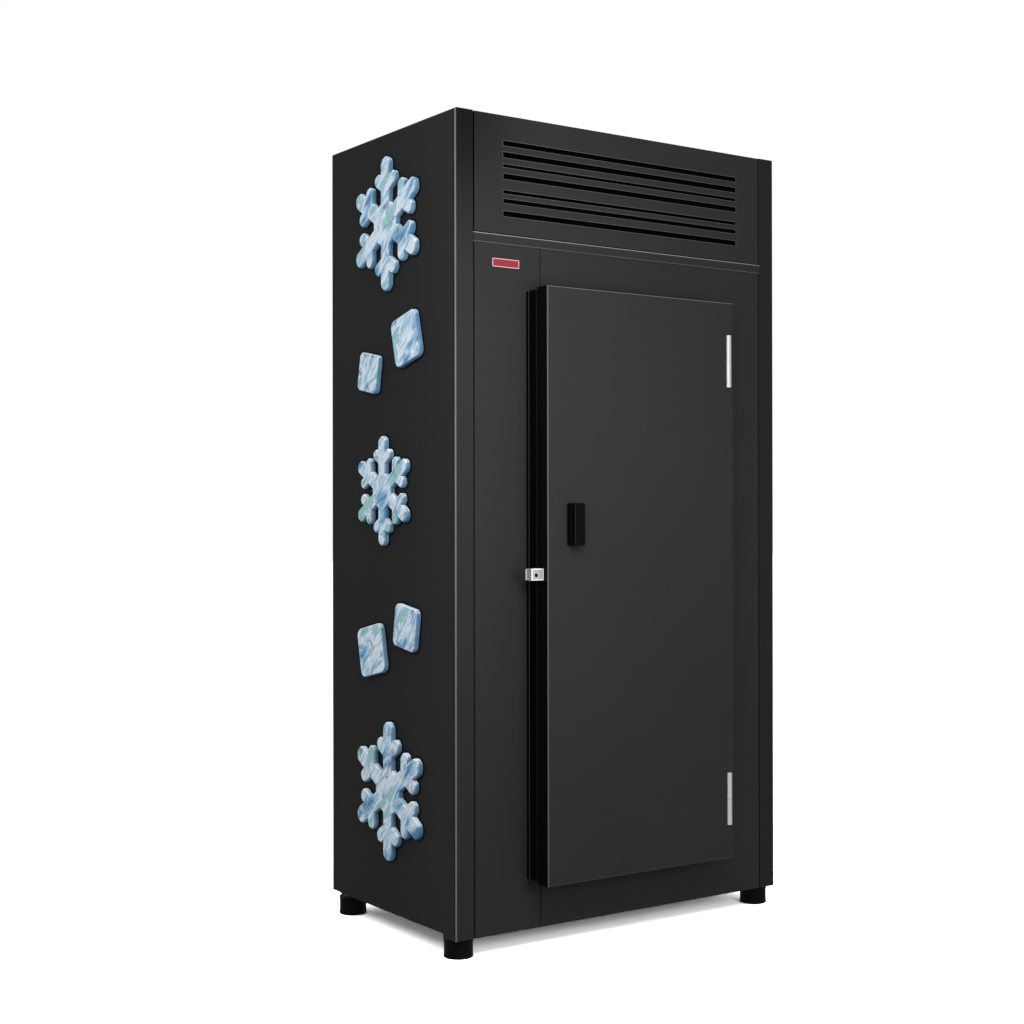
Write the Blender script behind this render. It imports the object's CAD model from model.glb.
"""The looks of an upright ice storage freezer, built round its packed construction model."""
import math

import bmesh
import bpy
from mathutils import Euler, Matrix, Vector


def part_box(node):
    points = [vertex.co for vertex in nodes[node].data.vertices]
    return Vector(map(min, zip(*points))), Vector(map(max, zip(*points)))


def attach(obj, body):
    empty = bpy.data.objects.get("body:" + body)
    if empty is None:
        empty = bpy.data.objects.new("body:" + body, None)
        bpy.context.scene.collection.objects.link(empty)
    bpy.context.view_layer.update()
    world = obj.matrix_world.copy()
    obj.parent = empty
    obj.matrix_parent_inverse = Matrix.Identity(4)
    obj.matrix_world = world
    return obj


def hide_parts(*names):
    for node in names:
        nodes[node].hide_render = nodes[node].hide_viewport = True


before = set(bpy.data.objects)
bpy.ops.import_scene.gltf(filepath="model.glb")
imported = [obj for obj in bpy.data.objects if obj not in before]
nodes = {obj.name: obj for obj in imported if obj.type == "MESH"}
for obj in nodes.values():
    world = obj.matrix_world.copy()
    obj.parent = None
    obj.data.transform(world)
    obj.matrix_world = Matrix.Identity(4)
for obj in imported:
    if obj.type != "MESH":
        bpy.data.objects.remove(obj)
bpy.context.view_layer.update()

# Camera: it stands off the front left corner at about half the cabinet's height,
# level and nearly upright, as in a catalogue picture.
camera_data = bpy.data.cameras.new("studio_camera")
camera_data.sensor_fit = "HORIZONTAL"
camera_data.sensor_width = 36.0
camera_data.lens = 56.42
camera_data.clip_end = 60
camera = bpy.data.objects.new("studio_camera", camera_data)
camera.location = (-2.4818, -3.3454, 1.0222)
camera.rotation_euler = Euler([math.radians(angle) for angle in (90.199, 0.088, -34.603)])
bpy.context.scene.collection.objects.link(camera)
bpy.context.scene.camera = camera
bpy.context.scene.view_settings.view_transform = "Standard"

# Levelling feet: nitrile rubber pads moulded round a threaded steel stud, one at each corner.
# The stud turns in a bush of the base frame, and the pad has a thick rim above and below and
# ribs underneath. Moulded rubber is dull, and dust greys it in soft patches.
mm = 0.001
rubber_tones = ("#0a0a0a", "#101010")
rubber_rim = "#3c3c3c"
pad_top = 46.2
rim_drop = 0.4
foot_profile = (
    (0, 0), (12, 0), (12, 1.4), (15, 1.4), (15, 0), (22, 0), (22, 1.4), (25, 1.4), (25, 0),
    (32, 0), (34.2, 0.8), (34.98, 3.2), (34.98, 5.6), (34.4, 7.4), (34.2, 10), (34.1, 24),
    (34.2, 37), (34.8, 38.6), (34.98, 40.4), (34.98, 44), (34.4, 45.6), (33, pad_top),
    (9, pad_top), (6, pad_top), (6, pad_top + 1.75),
)
stud_radius = 6
stud_root = 5.2
stud_pitch = 1.75
stud_end = 1
foot_facets = 64
dull_spread = 0.06
weld_gap = 0.005 * mm
smooth_angle = 32


def linear(colour):
    """An sRGB hex colour as the linear RGBA that a shader takes."""
    parts = [int(colour[place:place + 2], 16) / 255 for place in (1, 3, 5)]
    return tuple(p / 12.92 if p <= 0.04045 else ((p + 0.055) / 1.055) ** 2.4 for p in parts) + (1,)


def new_material(name):
    """A material with an empty tree, ready for nodes."""
    material = bpy.data.materials.new(name)
    material.use_nodes = True
    material.node_tree.nodes.clear()
    return material


def node(material, kind, links=None, values=None, **settings):
    """Adds a node; links and values go to its sockets, and settings to the node itself."""
    added = material.node_tree.nodes.new(kind)
    for name, value in settings.items():
        setattr(added, name, value)
    for socket, value in (values or {}).items():
        added.inputs[socket].default_value = value
    for socket, source in (links or {}).items():
        material.node_tree.links.new(source, added.inputs[socket])
    return added


def mark_edges(material, place, colour, edges):
    """Lightens or darkens a colour near lines or planes, where a coat is thin or dirt lies.

    Each edge gives the axes that count, its place, how far it is full and fades, and its colour.
    """
    for axes, edge, (full, faded), edge_colour in edges:
        flat = node(material, "ShaderNodeVectorMath", {0: place}, {1: axes}, operation="MULTIPLY")
        away = node(material, "ShaderNodeVectorMath", {0: flat.outputs["Vector"]}, {1: edge},
                    operation="DISTANCE")
        near = node(material, "ShaderNodeMapRange", {"Value": away.outputs["Value"]},
                    {"From Min": full, "From Max": faded, "To Min": 1.0, "To Max": 0.0},
                    interpolation_type="SMOOTHSTEP")
        colour = node(material, "ShaderNodeMix", {"Factor": near.outputs["Result"], "A": colour},
                      {"B": linear(edge_colour)}, data_type="RGBA").outputs["Result"]
    return colour


def grained(name, tones, roughness, grain, depth, drift, values=None, edges=()):
    """A finish that drifts between two tones and has a grain of a given size and depth."""
    material = new_material(name)
    place = node(material, "ShaderNodeTexCoord").outputs["Object"]
    cloud = node(material, "ShaderNodeTexNoise", {"Vector": place},
                 {"Scale": 1 / drift, "Detail": 4.0, "Roughness": 0.6})
    tone = node(material, "ShaderNodeMix", {"Factor": cloud.outputs["Fac"]},
                {"A": linear(tones[0]), "B": linear(tones[1])}, data_type="RGBA")
    dull = node(material, "ShaderNodeMapRange", {"Value": cloud.outputs["Fac"]},
                {"To Min": roughness - dull_spread, "To Max": roughness + dull_spread})
    fine = node(material, "ShaderNodeTexNoise", {"Vector": place},
                {"Scale": 1 / grain, "Detail": 2.0})
    relief = node(material, "ShaderNodeBump", {"Height": fine.outputs["Fac"]},
                  {"Distance": depth, "Strength": 0.6})
    colour = mark_edges(material, place, tone.outputs["Result"], edges)
    shader = node(material, "ShaderNodeBsdfPrincipled",
                  {"Base Color": colour, "Roughness": dull.outputs["Result"],
                   "Normal": relief.outputs["Normal"]}, values)
    node(material, "ShaderNodeOutputMaterial", {"Surface": shader.outputs["BSDF"]})
    return material


def dress(material, *names):
    """Gives construction nodes a finish."""
    for name in names:
        nodes[name].data.materials.clear()
        nodes[name].data.materials.append(material)


def add_piece(name, form, body, material):
    """Makes an object of a finished form, in its finish, and lets it ride on a body."""
    bmesh.ops.remove_doubles(form, verts=form.verts, dist=weld_gap)
    bmesh.ops.recalc_face_normals(form, faces=form.faces)
    mesh = bpy.data.meshes.new(name)
    form.to_mesh(mesh)
    form.free()
    mesh.shade_smooth()
    mesh.set_sharp_from_angle(angle=math.radians(smooth_angle))
    mesh.materials.append(material)
    piece = bpy.data.objects.new(name, mesh)
    bpy.context.scene.collection.objects.link(piece)
    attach(piece, body)
    return piece


rim_edge = ((0, 0, 1), (0, 0, (pad_top - rim_drop) * mm), (0.5 * mm, 1.4 * mm), rubber_rim)
rubber = grained("moulded_nitrile_rubber", rubber_tones, roughness=0.62, grain=0.9 * mm,
                 depth=0.03 * mm, drift=30 * mm, values={"Specular IOR Level": 0.03},
                 edges=(rim_edge,))
foot_names = ("front_left", "front_right", "rear_left", "rear_right")
for corner in foot_names:
    low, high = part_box(f"{corner}_foot")
    centre = Vector(((low.x + high.x) / 2, (low.y + high.y) / 2, 0))
    profile = list(foot_profile)
    thread_z = foot_profile[-1][1]
    while thread_z + stud_pitch < high.z / mm - stud_end:
        profile.append((stud_root, thread_z + stud_pitch / 2))
        thread_z += stud_pitch
        profile.append((stud_radius, thread_z))
    profile += [(stud_root, high.z / mm), (0, high.z / mm)]
    foot_form = bmesh.new()
    points = [foot_form.verts.new(centre + Vector((radius * mm, 0, z * mm)))
              for radius, z in profile]
    lines = [foot_form.edges.new(pair) for pair in zip(points, points[1:])]
    bmesh.ops.spin(foot_form, geom=points + lines, cent=centre, axis=(0, 0, 1), dvec=(0, 0, 0),
                   angle=math.tau, steps=foot_facets, use_merge=True, use_duplicate=False)
    foot = add_piece(f"{corner}_levelling_foot", foot_form, f"foot_{corner}", rubber)
    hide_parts(f"{corner}_foot")

# Base frame, floor pan, back, machine deck, shroud, control box and lock keeper: folded from
# hot-dip galvanised sheet. Its zinc sets in spangles, flat crystals about a thumb nail wide
# that each shine a little differently.
spangle = 12 * mm
sheet_grain = 2 * mm
zinc_tones = ("#777c7f", "#8f9497")
zinc_roughness = (0.34, 0.52)

galvanised = new_material("hot_dip_galvanised_sheet")
place = node(galvanised, "ShaderNodeTexCoord").outputs["Object"]
crystals = node(galvanised, "ShaderNodeTexVoronoi", {"Vector": place}, {"Scale": 1 / spangle})
shine = node(galvanised, "ShaderNodeSeparateColor", {"Color": crystals.outputs["Color"]})
zinc = node(galvanised, "ShaderNodeMix", {"Factor": shine.outputs["Red"]},
            {"A": linear(zinc_tones[0]), "B": linear(zinc_tones[1])}, data_type="RGBA")
zinc_dull = node(galvanised, "ShaderNodeMapRange", {"Value": shine.outputs["Green"]},
                 {"To Min": zinc_roughness[0], "To Max": zinc_roughness[1]})
rolled = node(galvanised, "ShaderNodeTexNoise", {"Vector": place},
              {"Scale": 1 / sheet_grain, "Detail": 3.0})
zinc_relief = node(galvanised, "ShaderNodeBump", {"Height": rolled.outputs["Fac"]},
                   {"Distance": 0.03 * mm, "Strength": 0.5})
zinc_shader = node(galvanised, "ShaderNodeBsdfPrincipled",
                   {"Base Color": zinc.outputs["Result"], "Roughness": zinc_dull.outputs["Result"],
                    "Normal": zinc_relief.outputs["Normal"]}, {"Metallic": 1.0})
node(galvanised, "ShaderNodeOutputMaterial", {"Surface": zinc_shader.outputs["BSDF"]})
dress(galvanised, "base_frame", "floor_pan", "back_skin", "machine_deck", "condenser_shroud",
      "control_box", "lock_keeper")

# Insulation: polyurethane foam, poured between the skins and the liners, where it sets hard.
# It is pale yellow with a crust of fine closed cells, and black tape covers it where it would
# show, behind the front panels' joints and in the door's hinge pockets.
foam_tones = ("#d9c08a", "#c8aa6e")
tape_black = "#060606"
foam_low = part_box("cabinet_foam")[0]
door_foam_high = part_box("door_foam")[1]
foam_tapes = {
    "cabinet_foam": ((0, 1, 0), (0, foam_low.y, 0), (17 * mm, 18 * mm), tape_black),
    "door_foam": ((1, 0, 0), (door_foam_high.x, 0, 0), (25 * mm, 27 * mm), tape_black),
}
for foam_block, tape in foam_tapes.items():
    foam = grained(f"rigid_polyurethane_of_{foam_block}", foam_tones, roughness=0.88,
                   grain=1.2 * mm, depth=0.3 * mm, drift=90 * mm, edges=(tape,))
    dress(foam, foam_block)

# Liners and evaporator casing: aluminium sheet, coil coated in food-safe white and rolled with
# a stucco pattern. The shallow embossing breaks up the shine, and frost dulls it in patches.
stucco = 7 * mm
stucco_depth = 0.25 * mm
frost_patch = 160 * mm
liner_tones = ("#e3e8ea", "#eff2f3")

liner_white = new_material("stucco_white_aluminium")
place = node(liner_white, "ShaderNodeTexCoord").outputs["Object"]
frost = node(liner_white, "ShaderNodeTexNoise", {"Vector": place},
             {"Scale": 1 / frost_patch, "Detail": 4.0})
liner_tone = node(liner_white, "ShaderNodeMix", {"Factor": frost.outputs["Fac"]},
                  {"A": linear(liner_tones[0]), "B": linear(liner_tones[1])}, data_type="RGBA")
pebbles = node(liner_white, "ShaderNodeTexVoronoi", {"Vector": place},
               {"Scale": 1 / stucco, "Smoothness": 0.6}, feature="SMOOTH_F1")
pebble_relief = node(liner_white, "ShaderNodeBump", {"Height": pebbles.outputs["Distance"]},
                     {"Distance": stucco_depth, "Strength": 0.5})
liner_dull = node(liner_white, "ShaderNodeMapRange", {"Value": frost.outputs["Fac"]},
                  {"To Min": 0.28, "To Max": 0.5})
liner_shader = node(liner_white, "ShaderNodeBsdfPrincipled",
                    {"Base Color": liner_tone.outputs["Result"],
                     "Roughness": liner_dull.outputs["Result"],
                     "Normal": pebble_relief.outputs["Normal"]})
node(liner_white, "ShaderNodeOutputMaterial", {"Surface": liner_shader.outputs["BSDF"]})
dress(liner_white, "inner_liner", "door_liner", "evaporator_casing")

# Outer skins: cold-rolled steel sheet, folded and then powder coated in satin black. The cured
# powder leaves a faint orange peel and drifts a little in tone over a sheet, hands leave duller
# patches, and the coat is thin and light on the folded edges.
coat_tones = ("#2c2c2d", "#313132")
# The sides and the roof face away from the front's light and are a shade darker.
side_tones = ("#242425", "#282829")
coat_values = {"Specular IOR Level": 0.012}
orange_peel = 4 * mm
left_low, left_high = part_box("left_side_skin")
left_x = left_low.x
front_y = left_low.y
top_z = left_high.z
corner_light = "#68686a"
side_by_corner = "#2b2b2c"
fold_shadow = "#202022"
shaded_top = "#181818"
shade_reach = (0, 380 * mm)
# Depth counts this many times over in the top's shade, which so stays on the front face.
front_only = 200


def powder_coat(name, edges=(), tones=coat_tones):
    """Satin black powder coat, with light edges."""
    return grained(name, tones, roughness=0.44, grain=orange_peel, depth=0.05 * mm,
                   drift=350 * mm, values=coat_values, edges=edges)


panel_coat = powder_coat("satin_black_powder_coat")
dress(panel_coat, "filler_panel", "front_panel")
dress(powder_coat("darker_powder_coat", tones=side_tones), "right_side_skin", "roof_panel")
corner_edges = (
    ((1, 1, 0), (left_x, front_y, 0), (30 * mm, 330 * mm), side_by_corner),
    ((0, 1, 0), (0, front_y, 0), (1.2 * mm, 2 * mm), coat_tones[0]),
    ((0, front_only, 1), (0, front_only * front_y, top_z), shade_reach, shaded_top),
    ((1, 1, 0), (left_x, front_y + 6 * mm, 0), (1 * mm, 4 * mm), fold_shadow),
    ((1, 1, 0), (left_x + 1 * mm, front_y, 0), (1.2 * mm, 3.4 * mm), corner_light),
)
dress(powder_coat("powder_coat_with_light_fold", corner_edges, side_tones), "left_side_skin")

# Trim rail: a folded steel strip across the front, hooked over the panels' joint and coated
# with them. Its two long folds catch the light.
rail_low, rail_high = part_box("trim_rail")
rail_edges = (
    ((0, 1, 1), (0, rail_low.y, rail_high.z), (0.9 * mm, 2.6 * mm), "#8e8e90"),
    ((0, 1, 1), (0, rail_low.y, rail_low.z), (0.7 * mm, 2.0 * mm), "#5c5c5e"),
)
dress(powder_coat("powder_coat_on_trim_rail", rail_edges), "trim_rail")

# Louvred panel: a coated sheet with seven air slots, each with a hood pressed behind it, whose
# inside the powder barely reaches and which stays deep black. The slots' edges are folded
# back on themselves, which leaves a narrow raised rim round them, rubbed light.
machine_height = 304
deck_z = rail_low.z / mm
slot_sides = (-359.6 * mm, 374.5 * mm)
slot_shares = ((0.764, 0.038), (0.672, 0.042), (0.597, 0.0235), (0.506, 0.041), (0.394, 0.025),
               (0.320, 0.0325), (0.217, 0.041))
hem_width = 1.5 * mm
hem_rise = 0.7 * mm
hem_root = 0.2 * mm
hem_round = 0.3 * mm
hem_coat = grained("powder_coat_on_slot_hems", ("#48484a", "#525254"), roughness=0.4,
                   grain=orange_peel, depth=0.02 * mm, drift=200 * mm, values=coat_values)
shaded_louvres = "#202020"
hood_middle = 9.2 * mm
hood_black = "#010101"
hood_edges = (
    ((1, 0, 1), (left_x, 0, top_z), (0, 260 * mm), shaded_louvres),
    ((0, 1, 0), (0, front_y + hood_middle, 0), (8 * mm, 8.6 * mm), hood_black),
)
dress(powder_coat("powder_coat_on_louvres", hood_edges), "louvre_panel")


def flat_frame(form, x_pair, z_pair, y, width):
    """A rectangular ring of four faces in an upright plane across; its faces are returned."""
    size = (x_pair[1] - x_pair[0], z_pair[1] - z_pair[0])
    middle = Vector(((x_pair[0] + x_pair[1]) / 2, y, (z_pair[0] + z_pair[1]) / 2))
    stand = Matrix.Translation(middle) @ Matrix.Rotation(math.radians(90), 4, "X")
    sheet = bmesh.ops.create_grid(form, x_segments=1, y_segments=1, size=0.5,
                                  matrix=stand @ Matrix.Diagonal((size[0], size[1], 1, 1)))
    middle_face = sheet["verts"][0].link_faces[0]
    ring = bmesh.ops.inset_region(form, faces=[middle_face], thickness=width,
                                  use_even_offset=True, use_boundary=True)["faces"]
    bmesh.ops.delete(form, geom=[middle_face], context="FACES_ONLY")
    return ring


hem_form = bmesh.new()
for level_share, height_share in slot_shares:
    slot_z0 = (deck_z + level_share * machine_height) * mm
    slot_z1 = slot_z0 + height_share * machine_height * mm
    ring = flat_frame(hem_form, (slot_sides[0] - hem_width, slot_sides[1] + hem_width),
                      (slot_z0 - hem_width, slot_z1 + hem_width), front_y + hem_root, hem_width)
    raised = bmesh.ops.extrude_face_region(hem_form, geom=ring, use_keep_orig=True)["geom"]
    bmesh.ops.translate(hem_form, vec=(0, -hem_rise - hem_root, 0),
                        verts=[part for part in raised if isinstance(part, bmesh.types.BMVert)])
bmesh.ops.bevel(hem_form, geom=[edge for edge in hem_form.edges
                                if all(vert.co.y < front_y - hem_rise / 2 for vert in edge.verts)],
                offset=hem_round, affect="EDGES", segments=2, profile=0.5, material=-1)
add_piece("louvre_slot_hems", hem_form, "cabinet", hem_coat)

# Emblems: clear acrylic cast with a printed ice picture behind it and glued to the left side,
# each on a navy backing plate that shows as an outline. The ice has slanting milky streaks,
# blue patches and broken dark veins, and its bevels are white above and steel blue below.
gap_size = 45 * mm
streak_length = 130 * mm
streak_width = 38 * mm
streak_slant = math.radians(45)
ice_stops = ((0.0, "#2f5474"), (0.33, "#4f82b0"), (0.4, "#86b7d8"), (0.46, "#c3dcf2"),
             (0.53, "#eaf4ff"), (0.57, "#a4cae4"), (0.64, "#8fc4b6"), (0.72, "#dcecf8"))
vein_colour = "#46607a"
upper_bevel = "#f6fafc"
lower_bevel = "#4b7598"
outline_width = 5.5 * mm
outline_sheet = 1 * mm
# Only the emblems' flat backs are taken for the plates, welded and freed of needless edges.
backward_least = 0.9
picture_weld_gap = 0.01 * mm
flat_within = math.radians(1)

ice = new_material("cast_acrylic_ice_print")
place = node(ice, "ShaderNodeTexCoord").outputs["Object"]
slanted = node(ice, "ShaderNodeMapping", {"Vector": place}, {"Rotation": (streak_slant, 0, 0)})
stretched = node(ice, "ShaderNodeVectorMath", {0: slanted.outputs["Vector"]},
                 {1: (1 / streak_width, 1 / streak_length, 1 / streak_width)},
                 operation="MULTIPLY")
streaks = node(ice, "ShaderNodeTexNoise", {"Vector": stretched.outputs["Vector"]},
               {"Scale": 1.0, "Detail": 6.0, "Roughness": 0.6, "Distortion": 0.5})
ice_tone = node(ice, "ShaderNodeValToRGB", {"Fac": streaks.outputs["Fac"]})
ice_ramp = ice_tone.color_ramp
while len(ice_ramp.elements) < len(ice_stops):
    ice_ramp.elements.new(1.0)
for element, (stop, colour) in zip(ice_ramp.elements, ice_stops):
    element.position = stop
    element.color = linear(colour)
cracks = node(ice, "ShaderNodeTexVoronoi", {"Vector": stretched.outputs["Vector"]},
              {"Scale": 1.3}, feature="DISTANCE_TO_EDGE")
crack_line = node(ice, "ShaderNodeMapRange", {"Value": cracks.outputs["Distance"]},
                  {"From Min": 0.0, "From Max": 0.07, "To Min": 1.0, "To Max": 0.0})
broken = node(ice, "ShaderNodeTexNoise", {"Vector": place}, {"Scale": 1 / gap_size})
gaps = node(ice, "ShaderNodeMapRange", {"Value": broken.outputs["Fac"]},
            {"From Min": 0.5, "From Max": 0.6, "To Min": 0.0, "To Max": 0.75})
vein = node(ice, "ShaderNodeMath", {0: crack_line.outputs["Result"], 1: gaps.outputs["Result"]},
            operation="MULTIPLY")
veined = node(ice, "ShaderNodeMix", {"Factor": vein.outputs["Value"],
                                     "A": ice_tone.outputs["Color"]},
              {"B": linear(vein_colour)}, data_type="RGBA")
facing = node(ice, "ShaderNodeNewGeometry")
colour = veined.outputs["Result"]
for way, bevel_colour in (((0, 0.7, 0.7), upper_bevel), ((0, -0.7, -0.7), lower_bevel)):
    tilt = node(ice, "ShaderNodeVectorMath", {0: facing.outputs["Normal"]}, {1: way},
                operation="DOT_PRODUCT")
    share = node(ice, "ShaderNodeMapRange", {"Value": tilt.outputs["Value"]},
                 {"From Min": 0.12, "From Max": 0.4, "To Max": 0.85})
    colour = node(ice, "ShaderNodeMix", {"Factor": share.outputs["Result"], "A": colour},
                  {"B": linear(bevel_colour)}, data_type="RGBA").outputs["Result"]
ice_shader = node(ice, "ShaderNodeBsdfPrincipled", {"Base Color": colour},
                  {"Roughness": 0.3, "Specular IOR Level": 0.15})
node(ice, "ShaderNodeOutputMaterial", {"Surface": ice_shader.outputs["BSDF"]})
dress(ice, "snowflake_emblems", "ice_block_emblems")

navy = grained("navy_backing_plate", ("#03070d", "#0a1c2c"), roughness=0.4, grain=1.5 * mm,
               depth=0.02 * mm, drift=80 * mm, values={"Specular IOR Level": 0.02})
for emblem in ("snowflake_emblems", "ice_block_emblems"):
    back_form = bmesh.new()
    back_form.from_mesh(nodes[emblem].data)
    bmesh.ops.remove_doubles(back_form, verts=back_form.verts, dist=picture_weld_gap)
    bmesh.ops.delete(back_form, context="FACES",
                     geom=[face for face in back_form.faces if face.normal.x < backward_least])
    bmesh.ops.dissolve_limit(back_form, angle_limit=flat_within, verts=back_form.verts,
                             edges=back_form.edges)
    rim = bmesh.ops.inset_region(back_form, faces=back_form.faces[:], thickness=-outline_width,
                                 use_even_offset=True, use_boundary=True)["faces"]
    bmesh.ops.delete(back_form, geom=rim, context="FACES")
    bmesh.ops.recalc_face_normals(back_form, faces=back_form.faces)
    lifted = bmesh.ops.extrude_face_region(back_form, geom=back_form.faces[:],
                                           use_keep_orig=True)["geom"]
    bmesh.ops.translate(back_form, vec=(-outline_sheet, 0, 0),
                        verts=[part for part in lifted if isinstance(part, bmesh.types.BMVert)])
    add_piece(f"{emblem}_backing", back_form, "cabinet", navy)

# Badge: a small plate die-cast in zinc, enamelled red and left bare, with a raised rim whose
# enamel is worn pale. It is stuck on the filler panel.
badge_low, badge_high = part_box("badge_plate")
badge_rim = 1.8 * mm
rim_pink = "#d9a3a6"
worn_rim = (badge_rim * 0.7, badge_rim * 1.3)
badge_edges = (
    ((0, 0, 1), (0, 0, badge_low.z), worn_rim, rim_pink),
    ((0, 0, 1), (0, 0, badge_high.z), worn_rim, rim_pink),
    ((1, 0, 0), (badge_low.x, 0, 0), worn_rim, rim_pink),
    ((1, 0, 0), (badge_high.x, 0, 0), worn_rim, rim_pink),
)
dress(grained("red_enamel_badge", ("#7e2630", "#8f2f39"), roughness=0.3, grain=2 * mm,
              depth=0.02 * mm, drift=40 * mm, values={"Specular IOR Level": 0.2},
              edges=badge_edges), "badge_plate")

# Door surround: a subframe and a deeper casing, extruded in rigid black vinyl and screwed round
# the doorway. The vinyl is much blacker than the coat, and each part has one light bead.
deep_black = ("#040405", "#070708")
bead_light = "#3a3a3c"
casing_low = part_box("door_casing")[0]
subframe_bead = 11 * mm
casing_bead = 5 * mm
casing_light = "#1e1e20"
vinyl_edges = (
    ((0, 1, 0), (0, front_y - subframe_bead, 0), (0.8 * mm, 2.4 * mm), bead_light),
    ((0, 1, 0), (0, casing_low.y + casing_bead, 0), (0.9 * mm, 2.6 * mm), casing_light),
)
dress(grained("extruded_black_vinyl", deep_black, roughness=0.5, grain=0.8 * mm,
              depth=0.02 * mm, drift=60 * mm, values={"Specular IOR Level": 0.02},
              edges=vinyl_edges), "door_subframe", "door_casing")

# Door skin: a steel pan folded round the foam and coated like the cabinet. Its flank is
# deep black, and the coat is thin and light on its front edges.
leaf_low, leaf_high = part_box("door_skin")
flank_black = "#0a0a0b"
door_edges = (
    ((1, 0, 0), (leaf_low.x, 0, 0), (0.5 * mm, 1.6 * mm), flank_black),
    ((1, 0, 0), (leaf_high.x, 0, 0), (0.5 * mm, 1.6 * mm), flank_black),
    ((1, 1, 0), (leaf_low.x, leaf_low.y, 0), (1.2 * mm, 3.2 * mm), "#585859"),
    ((0, 1, 1), (0, leaf_low.y, leaf_high.z), (0.9 * mm, 2.6 * mm), "#616162"),
    ((0, 1, 1), (0, leaf_low.y, leaf_low.z), (0.8 * mm, 2.4 * mm), "#48484a"),
)
dress(powder_coat("powder_coat_on_door", door_edges), "door_skin")

# Door gasket: a soft grey-black vinyl profile with a bellows fold and a magnet in its pocket,
# pushed into the door's back all round. It has a matt skin. Each step of its section goes so many
# millimetres inward, or straight out where that is 0, and rises by a share of the whole.
gasket_low, gasket_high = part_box("door_gasket")
gasket_width = 22 * mm
gasket_rise = gasket_high.y - gasket_low.y
gasket_steps = ((0.0, 0.22), (3.2, 0.0), (0.6, -0.14), (1.4, 0.0), (0.5, 0.78), (1.0, 0.12),
                (1.6, 0.02))
gasket_vinyl = grained("soft_gasket_vinyl", ("#1b1b1c", "#232325"), roughness=0.7,
                       grain=1 * mm, depth=0.03 * mm, drift=50 * mm)
gasket_form = bmesh.new()
ring = flat_frame(gasket_form, (gasket_low.x, gasket_high.x), (gasket_low.z, gasket_high.z),
                  gasket_low.y, gasket_width)
bmesh.ops.duplicate(gasket_form, geom=ring)
for inward, rise_share in gasket_steps:
    if inward:
        bmesh.ops.inset_region(gasket_form, faces=ring, thickness=inward * mm,
                               use_even_offset=True, use_boundary=True)
    else:
        grown = bmesh.ops.extrude_face_region(gasket_form, geom=ring)["geom"]
        ring = [part for part in grown if isinstance(part, bmesh.types.BMFace)]
    bmesh.ops.translate(gasket_form, vec=(0, rise_share * gasket_rise, 0),
                        verts=list({vert for face in ring for vert in face.verts}))
gasket = add_piece("bellows_door_gasket", gasket_form, "door", gasket_vinyl)
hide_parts("door_gasket")

# Hinges: zinc die castings, brushed and then lacquered satin grey, a leaf on the casing and one on
# the door, which turn on steel pins. The barrels shade from light on the left to grey. The lock's
# cam and the handle's screws have the same finish.
pin_low, pin_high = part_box("hinge_pins")
barrel_x = (pin_low.x + pin_high.x) / 2
barrel_reach = 7.5 * mm
brush_width = 0.4 * mm
brush_length = 30 * mm
metal_tones = ("#c4c4c4", "#808082")

satin_metal = new_material("satin_brushed_zinc")
place = node(satin_metal, "ShaderNodeTexCoord").outputs["Object"]
across = node(satin_metal, "ShaderNodeSeparateXYZ", {"Vector": place})
turned = node(satin_metal, "ShaderNodeMapRange", {"Value": across.outputs["X"]},
              {"From Min": barrel_x - barrel_reach, "From Max": barrel_x + barrel_reach})
metal_tone = node(satin_metal, "ShaderNodeMix", {"Factor": turned.outputs["Result"]},
                  {"A": linear(metal_tones[0]), "B": linear(metal_tones[1])}, data_type="RGBA")
brush_space = node(satin_metal, "ShaderNodeMapping", {"Vector": place},
                   {"Scale": (1 / brush_width, 1 / brush_width, 1 / brush_length)})
brushing = node(satin_metal, "ShaderNodeTexNoise", {"Vector": brush_space.outputs["Vector"]},
                {"Scale": 1.0, "Detail": 2.0})
brushed = node(satin_metal, "ShaderNodeBump", {"Height": brushing.outputs["Fac"]},
               {"Distance": 0.02 * mm, "Strength": 0.4})
metal_shader = node(satin_metal, "ShaderNodeBsdfPrincipled",
                    {"Base Color": metal_tone.outputs["Result"],
                     "Normal": brushed.outputs["Normal"]},
                    {"Metallic": 0.35, "Roughness": 0.5})
node(satin_metal, "ShaderNodeOutputMaterial", {"Surface": metal_shader.outputs["BSDF"]})
dress(satin_metal, "hinge_frame_leaves", "hinge_door_leaves", "hinge_pins", "lock_cam",
      "handle_screws")

# Handle, and the inlet and knob like it: black ABS with a fine spark-eroded grain, the handle
# screwed on from behind. A narrow light line runs down the left of the grip, where the moulds
# part.
grip_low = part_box("handle_grip")[0]
parting_inset = 1.5 * mm
parting_grey = "#19191b"
parting_line = ((1, 1, 0), (grip_low.x + parting_inset, grip_low.y, 0), (0.6 * mm, 1.8 * mm),
                parting_grey)
black_abs = grained("moulded_black_abs", ("#050506", "#0a0a0b"), roughness=0.45,
                    grain=0.7 * mm, depth=0.03 * mm, drift=40 * mm,
                    values={"Specular IOR Level": 0.03}, edges=(parting_line,))
dress(black_abs, "handle_base", "handle_grip", "power_inlet", "thermostat_knob")

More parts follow.
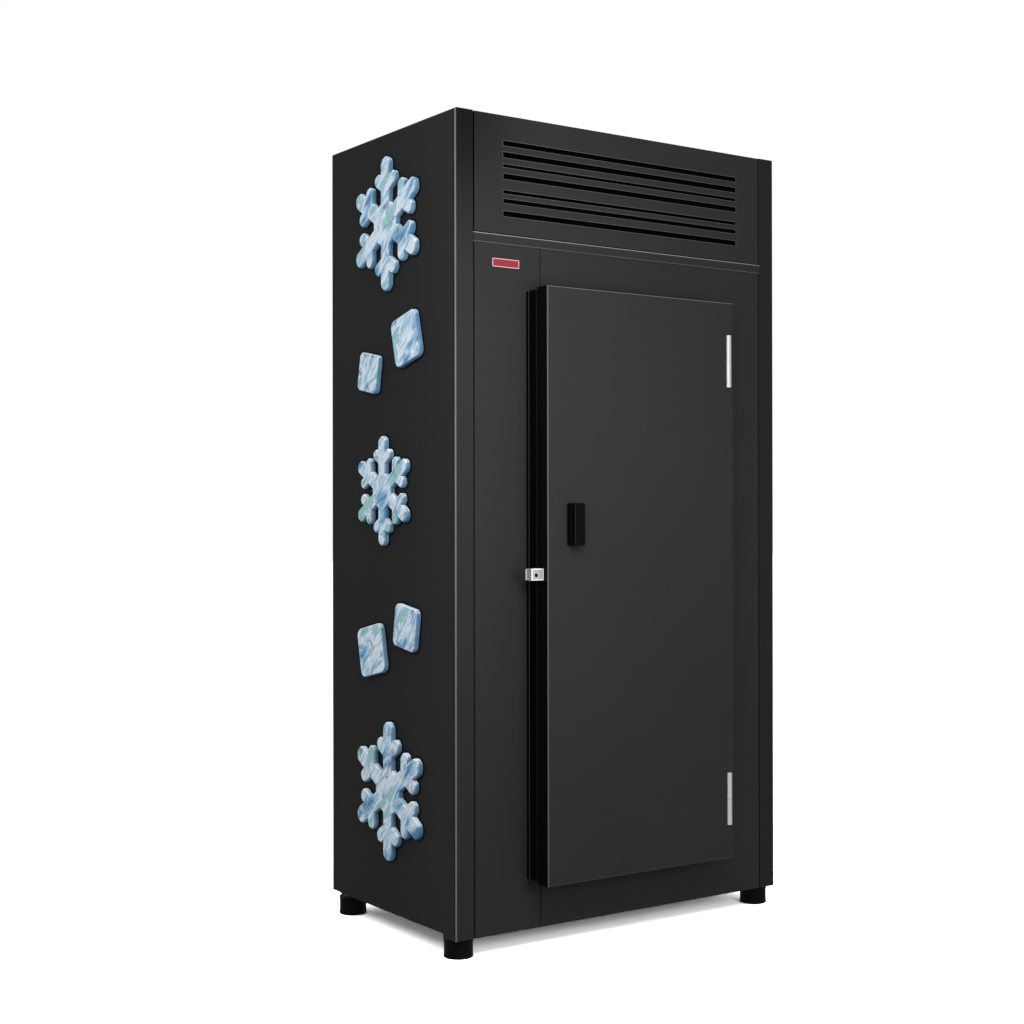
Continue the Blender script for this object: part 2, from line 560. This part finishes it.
# Lock: a zinc body blasted and plated in satin chrome, on a base like it, with a cylinder whose
# slot takes the key. Its face is pale grey, its rim is rubbed white and its side looks lilac.
lock_low, lock_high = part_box("lock_body")
lock_rim = 2.5 * mm
bright_rim = (lock_rim * 0.8, lock_rim * 1.1)
rim_white = "#fbfbfc"
lower_rim = "#f4f4f6"
lilac_side = "#a3a3b4"
chrome_edges = (
    ((1, 0, 0), (lock_low.x, 0, 0), bright_rim, rim_white),
    ((1, 0, 0), (lock_high.x, 0, 0), bright_rim, rim_white),
    ((0, 0, 1), (0, 0, lock_low.z), bright_rim, lower_rim),
    ((0, 0, 1), (0, 0, lock_high.z), bright_rim, rim_white),
    ((1, 0, 0), (lock_low.x, 0, 0), (0.2 * mm, 0.3 * mm), lilac_side),
)
chrome = grained("satin_chrome", ("#a2a2a4", "#adadaf"), roughness=0.4, grain=3 * mm,
                 depth=0.005 * mm, drift=30 * mm, values={"Metallic": 0.35},
                 edges=chrome_edges)
dress(chrome, "lock_body", "lock_base")
plug_dark = grained("worn_lock_plug", ("#060607", "#0e0e10"), roughness=0.4, grain=1 * mm,
                    depth=0.02 * mm, drift=10 * mm, values={"Specular IOR Level": 0.03})
dress(plug_dark, "lock_cylinder")

# Compressor and motors: drawn steel shells in thick black stoving enamel. The compressor stands
# on moulded rubber mounts on the machine deck.
enamel = grained("black_stoving_enamel", ("#121214", "#1c1c1f"), roughness=0.3, grain=5 * mm,
                 depth=0.05 * mm, drift=70 * mm)
mount_rubber = grained("compressor_mount_rubber", ("#1a1a1b", "#252526"), roughness=0.66,
                       grain=0.9 * mm, depth=0.03 * mm, drift=30 * mm)
dress(enamel, "compressor", "condenser_fan_motor", "evaporator_fan_motors")
dress(mount_rubber, "compressor_mounts")

# Coils, fans and pipes: the coils are stacks of thin aluminium fins on copper tubes, whose bends
# show at the ends. The fins' real spacing of about 2 mm is drawn at 4 mm, so that it shows. The
# fans, drip tray and shelf pilasters are aluminium sheet, and the pipes and drier copper.
fin_pitch = 4 * mm
fin_tones = ("#a9b0b4", "#c3c9cc")
fin_gap = "#4b5054"
fin_relief_depth = 1.5 * mm
copper_colour = "#b4714a"
bend_reach = 16 * mm
bend_fade = 1 * mm
for coil in ("condenser_coil", "evaporator_coil"):
    coil_low, coil_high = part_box(coil)
    fins = new_material(f"aluminium_fins_of_{coil}")
    place = node(fins, "ShaderNodeTexCoord").outputs["Object"]
    along = node(fins, "ShaderNodeSeparateXYZ", {"Vector": place})
    ridge = node(fins, "ShaderNodeMath", {0: along.outputs["X"]}, {1: fin_pitch / 2},
                 operation="PINGPONG")
    level = node(fins, "ShaderNodeMapRange", {"Value": ridge.outputs["Value"]},
                 {"From Max": fin_pitch / 2})
    fin_tone = node(fins, "ShaderNodeMix", {"Factor": level.outputs["Result"]},
                    {"A": linear(fin_gap), "B": linear(fin_tones[1])}, data_type="RGBA")
    colour = mark_edges(fins, place, fin_tone.outputs["Result"],
                        [((1, 0, 0), (end_x, 0, 0), (bend_reach - bend_fade, bend_reach),
                          copper_colour) for end_x in (coil_low.x, coil_high.x)])
    fin_relief = node(fins, "ShaderNodeBump", {"Height": level.outputs["Result"]},
                      {"Distance": fin_relief_depth, "Strength": 0.8})
    fin_shader = node(fins, "ShaderNodeBsdfPrincipled",
                      {"Base Color": colour, "Normal": fin_relief.outputs["Normal"]},
                      {"Metallic": 1.0, "Roughness": 0.42})
    node(fins, "ShaderNodeOutputMaterial", {"Surface": fin_shader.outputs["BSDF"]})
    dress(fins, coil)
aluminium = grained("pressed_aluminium_sheet", fin_tones, roughness=0.36, grain=1.5 * mm,
                    depth=0.02 * mm, drift=60 * mm, values={"Metallic": 1.0})
dress(aluminium, "condenser_fan", "evaporator_fan_left", "evaporator_fan_right", "drip_tray",
      "shelf_pilasters")
copper = grained("drawn_copper_tube", ("#a8623f", "#c68058"), roughness=0.32, grain=4 * mm,
                 depth=0.02 * mm, drift=45 * mm, values={"Metallic": 1.0})
dress(copper, "high_side_pipes", "suction_pipe", "filter_drier")

# Fan guards: rings and crossed spokes of steel wire, welded and zinc plated, clipped over each
# fan's mouth in the evaporator casing.
guard_wire = 2.4 * mm
guard_radius = 66 * mm
guard_rings = (0.22, 0.42, 0.62, 0.82, 1.0)
guard_spokes = 4
# The spokes lie against the rings, where the weld has sunk them in a little.
spoke_set_back = guard_wire * 0.8
ring_facets = 56
wire_facets = 8


def wire_guard(name, centre, radius):
    """Concentric rings with crossing spokes behind them, facing forward."""
    form = bmesh.new()
    for share in guard_rings:
        start = Matrix.Translation(centre + Vector((radius * share, 0, 0)))
        loop = bmesh.ops.create_circle(form, segments=wire_facets, radius=guard_wire / 2,
                                       cap_ends=False, matrix=start)["verts"]
        edges = list({edge for vert in loop for edge in vert.link_edges})
        bmesh.ops.spin(form, geom=loop + edges, cent=centre, axis=(0, 1, 0), dvec=(0, 0, 0),
                       angle=math.tau, steps=ring_facets, use_merge=True, use_duplicate=False)
    for turn in range(guard_spokes):
        spoke = Matrix.Rotation(turn * math.pi / guard_spokes, 4, "Y")
        middle = Matrix.Translation(centre + Vector((0, spoke_set_back, 0)))
        bmesh.ops.create_cone(form, cap_ends=True, segments=wire_facets, radius1=guard_wire / 2,
                              radius2=guard_wire / 2, depth=2 * radius, matrix=middle @ spoke)
    return add_piece(name, form, "cabinet", plated_wire)


plated_wire = grained("zinc_plated_wire", ("#b4b8ba", "#cdd1d3"), roughness=0.28,
                      grain=2 * mm, depth=0.01 * mm, drift=50 * mm, values={"Metallic": 1.0})
evaporator_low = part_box("evaporator_casing")[0]
for side in ("left", "right"):
    fan_low, fan_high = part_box(f"evaporator_fan_{side}")
    fan_centre = (fan_low + fan_high) / 2
    wire_guard(f"evaporator_guard_{side}",
               Vector((fan_centre.x, evaporator_low.y - guard_wire, fan_centre.z)),
               guard_radius)

# Shelves: cold-drawn wire, welded and dipped in white polyethylene, hung on nylon clips that
# hook into aluminium pilasters. The dipped coat is smooth, soft and a little uneven. The drain
# pipe is nylon too.
coated_wire = grained("white_dipped_wire", ("#e6e8e6", "#f1f3f2"), roughness=0.34,
                      grain=8 * mm, depth=0.08 * mm, drift=60 * mm)
nylon = grained("moulded_white_nylon", ("#dedfda", "#ebece8"), roughness=0.48,
                grain=0.8 * mm, depth=0.02 * mm, drift=30 * mm)
dress(coated_wire, "upper_shelf", "lower_shelf")
dress(nylon, "shelf_clips", "drain_pipe")

# Floor and room: a seamless sweep of white paper. The camera sees it bleached to white but for
# the freezer's own soft shadow, and whatever mirrors or passes its view sees it plain white.
white = (1, 1, 1, 1)
floor_reach = 30.0
paper_colour = (0.5, 0.5, 0.5, 1)
bleached = (4.2, 4.2, 4.2, 1)
mirrored_white = 0.8
fill_strength = 0.43

floor_form = bmesh.new()
bmesh.ops.create_grid(floor_form, x_segments=1, y_segments=1, size=floor_reach)
floor_mesh = bpy.data.meshes.new("studio_floor")
floor_form.to_mesh(floor_mesh)
floor_form.free()
floor = bpy.data.objects.new("studio_floor", floor_mesh)
bpy.context.scene.collection.objects.link(floor)


def sight(material):
    """Whether a ray comes from the camera, and whether from what mirrors or passes its view."""
    ray = node(material, "ShaderNodeLightPath")
    direct = node(material, "ShaderNodeMath", {0: ray.outputs["Diffuse Depth"]}, {1: 0.5},
                  operation="LESS_THAN")
    shiny = node(material, "ShaderNodeMath",
                 {0: ray.outputs["Is Glossy Ray"], 1: direct.outputs["Value"]},
                 operation="MULTIPLY")
    mirrored = node(material, "ShaderNodeMath",
                    {0: shiny.outputs["Value"], 1: ray.outputs["Is Transmission Ray"]},
                    operation="MAXIMUM")
    return ray.outputs["Is Camera Ray"], mirrored.outputs["Value"]


paper = new_material("white_paper_sweep")
camera_ray, mirrored_ray = sight(paper)
paper_tone = node(paper, "ShaderNodeMix", {"Factor": camera_ray},
                  {"A": paper_colour, "B": bleached}, data_type="RGBA")
matte = node(paper, "ShaderNodeBsdfDiffuse", {"Color": paper_tone.outputs["Result"]})
mirrored_paper = node(paper, "ShaderNodeEmission", values={"Color": white,
                                                           "Strength": mirrored_white})
paper_mix = node(paper, "ShaderNodeMixShader",
                 {"Fac": mirrored_ray, 1: matte.outputs["BSDF"],
                  2: mirrored_paper.outputs["Emission"]})
node(paper, "ShaderNodeOutputMaterial", {"Surface": paper_mix.outputs["Shader"]})
paper.cycles.emission_sampling = "NONE"
floor.data.materials.append(paper)

room = bpy.data.worlds.new("white_studio")
room.use_nodes = True
bpy.context.scene.world = room
room.node_tree.nodes.clear()
camera_ray, mirrored_ray = sight(room)
seen_white = node(room, "ShaderNodeMath", {0: camera_ray, 1: mirrored_ray}, operation="MAXIMUM")
room_fill = node(room, "ShaderNodeBackground", values={"Color": white,
                                                       "Strength": fill_strength})
room_white = node(room, "ShaderNodeBackground", values={"Color": white, "Strength": 1.0})
room_mix = node(room, "ShaderNodeMixShader",
                {"Fac": seen_white.outputs["Value"], 1: room_fill.outputs["Background"],
                 2: room_white.outputs["Background"]})
node(room, "ShaderNodeOutputWorld", {"Surface": room_mix.outputs["Shader"]})

# Lamps: a soft box close by on the front left, whose light falls off to the right and below, one
# high on the left, a small low one in front that reaches under the door, one over the top and
# one behind on the right. Each has its place, its aim, its size in metres and its watts.
lamps = (
    ("key_softbox", (-0.75, -1.25, 1.5), (-0.3, -0.23, 1.35), 0.8, 14),
    ("left_softbox", (-3.0, -0.2, 2.9), (-0.5, 0.0, 1.5), 1.6, 26),
    ("low_softbox", (-0.1, -2.6, 1.0), (0.0, -0.23, 0.3), 0.7, 15),
    ("top_softbox", (0.2, -0.4, 4.4), (0.0, 0.0, 1.0), 2.4, 50),
    ("rear_softbox", (3.2, 2.8, 2.6), (0.0, 0.0, 1.0), 2.2, 20),
)
for lamp_name, lamp_place, lamp_aim, lamp_size, lamp_power in lamps:
    lamp_data = bpy.data.lights.new(lamp_name, "AREA")
    lamp_data.shape = "SQUARE"
    lamp_data.size = lamp_size
    lamp_data.energy = lamp_power
    lamp = bpy.data.objects.new(lamp_name, lamp_data)
    lamp.location = lamp_place
    aim = Vector(lamp_aim) - Vector(lamp_place)
    lamp.rotation_euler = aim.to_track_quat("-Z", "Y").to_euler()
    lamp.visible_camera = False
    bpy.context.scene.collection.objects.link(lamp)
